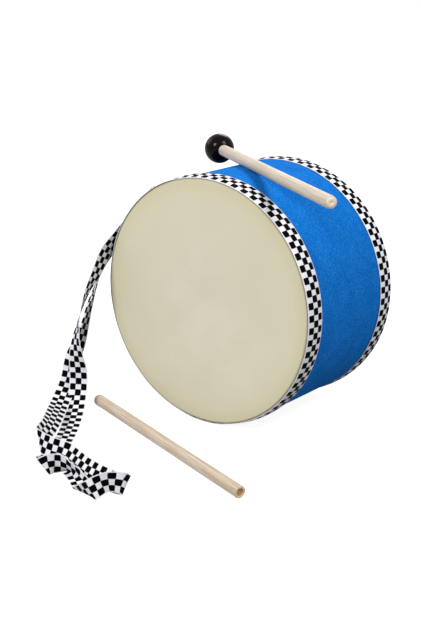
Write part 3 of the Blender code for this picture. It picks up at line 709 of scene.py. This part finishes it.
brassLook = tackBrass()
tack("front_dome_tack", "front_tack", strap["frontAngle"], drum["trimMiddle"], brassLook)
tack("rear_dome_tack", "rear_tack", strap["rearAngle"], drum["length"] - drum["trimMiddle"], brassLook)
print("tacks made")

# Mallet and stick, in mm and degrees
# Fineness of the turned meshes, and how far from its ends a dowel's straight run starts
turning = dict(ballSteps=48, ballFacets=96, endSteps=10, dowelFacets=64, straightRings=20, straightFrom=10)
handleWood = dict(light="#C1BBAF", grain="#B09E89", fleck="#9B846C", tan="#B7A590")
handleWood.update(end="#D6C6B2", core="#E3D3CA", coreMm=1, seed=9)
mallet = dict(dowel=6, ball=16.2, length=305, balance=89, station=73, heading=-33.4)
mallet.update(tenon=4, tenonChamfer=0.6, endRadius=3, markRadius=1.1, markFloor=0.5, markDepth=0.5)
stickWood = dict(light="#C0B6A6", grain="#A8937B", fleck="#947B62", tan="#B09980")
# the stick's darker core is painted shade inside the hollow of its near end
stickWood.update(end="#D2B592", core="#AA8259", coreMm=3.5, seed=2)
stickSize = dict(dowel=6, length=281, x=11.2, y=-78.7, heading=-20, farRadius=3, nearChamfer=0.8)
stickSize.update(hollowRadius=3.9, hollowFloor=3.3, hollowDepth=1.2, hollowTip=1.8)


def lyingPlace(x, y, z, heading):  # local Z becomes the level direction of the dowel
    laid = Euler((0, math.pi / 2, math.radians(heading))).to_matrix().to_4x4()
    return Matrix.Translation(Vector((x, y, z)) * mm) @ laid


def straightRun(radius, first, last):  # rings along a dowel between its two ends
    margin = turning["straightFrom"]
    return [(radius, h) for h in np.linspace(first + margin, last - margin, turning["straightRings"])]


def makeMallet():
    radius = mallet["dowel"]
    ball = mallet["ball"]
    turn = math.radians(mallet["heading"])
    x = -math.cos(turn) * mallet["balance"]
    y = mallet["station"] - math.sin(turn) * mallet["balance"]
    place = lyingPlace(x, y, drum["skinOuter"] + drum["gap"] + radius, mallet["heading"])

    bore = radius + drum["gap"]
    mouth = math.degrees(math.acos(bore / ball))
    bottom = -mallet["tenon"] - drum["gap"]
    profile = [(0, -ball)] + arc((0, 0), ball, -90, mouth, turning["ballSteps"])[1:]
    profile += [(bore, bottom), (0, bottom)]
    made = turnedPiece("lacquered_ball", profile, turning["ballFacets"], place, darkLacquer())
    settle(made, "mallet", "mallet_ball")

    tip = -mallet["tenon"]
    end = mallet["length"]
    chamfer = mallet["tenonChamfer"]
    bend = mallet["endRadius"]
    mark = end - mallet["markDepth"]
    profile = [(0, tip), (radius - chamfer, tip), (radius, tip + chamfer)]
    profile += straightRun(radius, 0, end)
    profile += arc((radius - bend, end - bend), bend, 0, 90, turning["endSteps"])
    profile += [(mallet["markRadius"], end), (mallet["markFloor"], mark), (0, mark)]
    look = beech("sanded_beech_handle", handleWood)
    made = turnedPiece("beech_handle", profile, turning["dowelFacets"], place, look)
    settle(made, "mallet", "mallet_handle")


def makeStick():
    radius = stickSize["dowel"]
    half = stickSize["length"] / 2
    place = lyingPlace(stickSize["x"], stickSize["y"], floorLevel / mm + radius, stickSize["heading"])
    far = stickSize["farRadius"]
    near = stickSize["nearChamfer"]
    profile = [(0, -half)] + arc((radius - far, far - half), far, -90, 0, turning["endSteps"])
    profile += straightRun(radius, -half, half)
    floor = half - stickSize["hollowDepth"]
    tip = half - stickSize["hollowTip"]
    profile += [(radius, half - near), (radius - near, half), (stickSize["hollowRadius"], half)]
    profile += [(stickSize["hollowFloor"], floor), (0, tip)]
    look = beech("sanded_beech_stick", stickWood)
    made = turnedPiece("beech_stick", profile, turning["dowelFacets"], place, look)
    settle(made, "stick", "stick")


makeMallet()
makeStick()
plyLook = plywood()
for name in ("shell", "front_hoop", "rear_hoop"):
    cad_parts[name].data.materials.clear()
    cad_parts[name].data.materials.append(plyLook)
print("mallet, stick and plywood done")

# Stage, light and camera
stageSize = dict(floor=12, floorColour="#959595", glow=0.93, worldLight=0.2)
lamps = [  # name, direction from the frame's origin, distance and size in metres, watts
    ("frontSoftbox", (-0.09, -0.785, 0.614), 5, 1.5, 205),
    ("rightSoftbox", (0.62, 0.06, 0.78), 2.2, 0.85, 37),
    ("backStrip", (-0.35, 0.75, 0.56), 3, 1.2, 27),
    ("leftFill", (-0.85, -0.1, 0.5), 3, 1.5, 18),
]
cameraSpot = dict(eye=(0.77823, -0.97611, 0.36345), aim=(-0.5924, 0.7521, -0.2888))
cameraSpot.update(focusPx=1282.9, imageHeight=631, sensor=36)


def cameraLike(tree):  # 1 for rays that show the background: from the camera, in gloss and through glass
    path = addNode(tree, "ShaderNodeLightPath").outputs
    seen = path["Is Camera Ray"]
    for kind in ("Is Glossy Ray", "Is Transmission Ray"):
        seen = addNode(tree, "ShaderNodeMath", [(0, seen), (1, path[kind])], operation="MAXIMUM").outputs[0]
    return seen


def makeFloor():
    mesh = bpy.data.meshes.new("floor")
    half = stageSize["floor"] / 2
    corners = [(-half, -half), (half, -half), (half, half), (-half, half)]
    mesh.from_pydata([(x, y, floorLevel) for x, y in corners], [], [(0, 1, 2, 3)])
    made = bpy.data.objects.new("floor", mesh)
    bpy.context.scene.collection.objects.link(made)
    look, tree, shader = newMaterial("pale_floor", Roughness=0.9)
    shader.inputs["Base Color"].default_value = linear(stageSize["floorColour"])
    links = [(0, cameraLike(tree)), (1, stageSize["glow"])]
    glow = addNode(tree, "ShaderNodeMath", links, operation="MULTIPLY")
    white = addNode(tree, "ShaderNodeEmission", [("Strength", glow.outputs[0])])
    both = addNode(tree, "ShaderNodeAddShader", [(0, shader.outputs[0]), (1, white.outputs[0])])
    tree.links.new(both.outputs[0], tree.nodes["Material Output"].inputs["Surface"])
    mesh.materials.append(look)


def makeLight():
    world = bpy.data.worlds.new("white_room")
    bpy.context.scene.world = world
    world.use_nodes = True
    tree = world.node_tree
    links = [("Value", cameraLike(tree)), ("To Min", stageSize["worldLight"]), ("To Max", 1)]
    strength = addNode(tree, "ShaderNodeMapRange", links)
    back = tree.nodes["Background"]
    back.inputs["Color"].default_value = (1, 1, 1, 1)
    tree.links.new(strength.outputs[0], back.inputs["Strength"])
    for name, direction, distance, size, watts in lamps:
        data = bpy.data.lights.new(name, "AREA")
        data.size = size
        data.energy = watts
        lamp = bpy.data.objects.new(name, data)
        toward = Vector(direction).normalized()
        lamp.location = toward * distance
        lamp.rotation_euler = toward.to_track_quat("Z", "Y").to_euler()
        bpy.context.scene.collection.objects.link(lamp)


def makeCamera():
    data = bpy.data.cameras.new("camera")
    data.sensor_width = cameraSpot["sensor"]
    data.lens = cameraSpot["focusPx"] / cameraSpot["imageHeight"] * cameraSpot["sensor"]
    camera = bpy.data.objects.new("camera", data)
    camera.location = cameraSpot["eye"]
    camera.rotation_euler = Vector(cameraSpot["aim"]).to_track_quat("-Z", "Y").to_euler()
    bpy.context.scene.collection.objects.link(camera)
    bpy.context.scene.camera = camera


makeFloor()
makeLight()
makeCamera()
bpy.context.scene.view_settings.view_transform = "Standard"
print("stage, light and camera set")
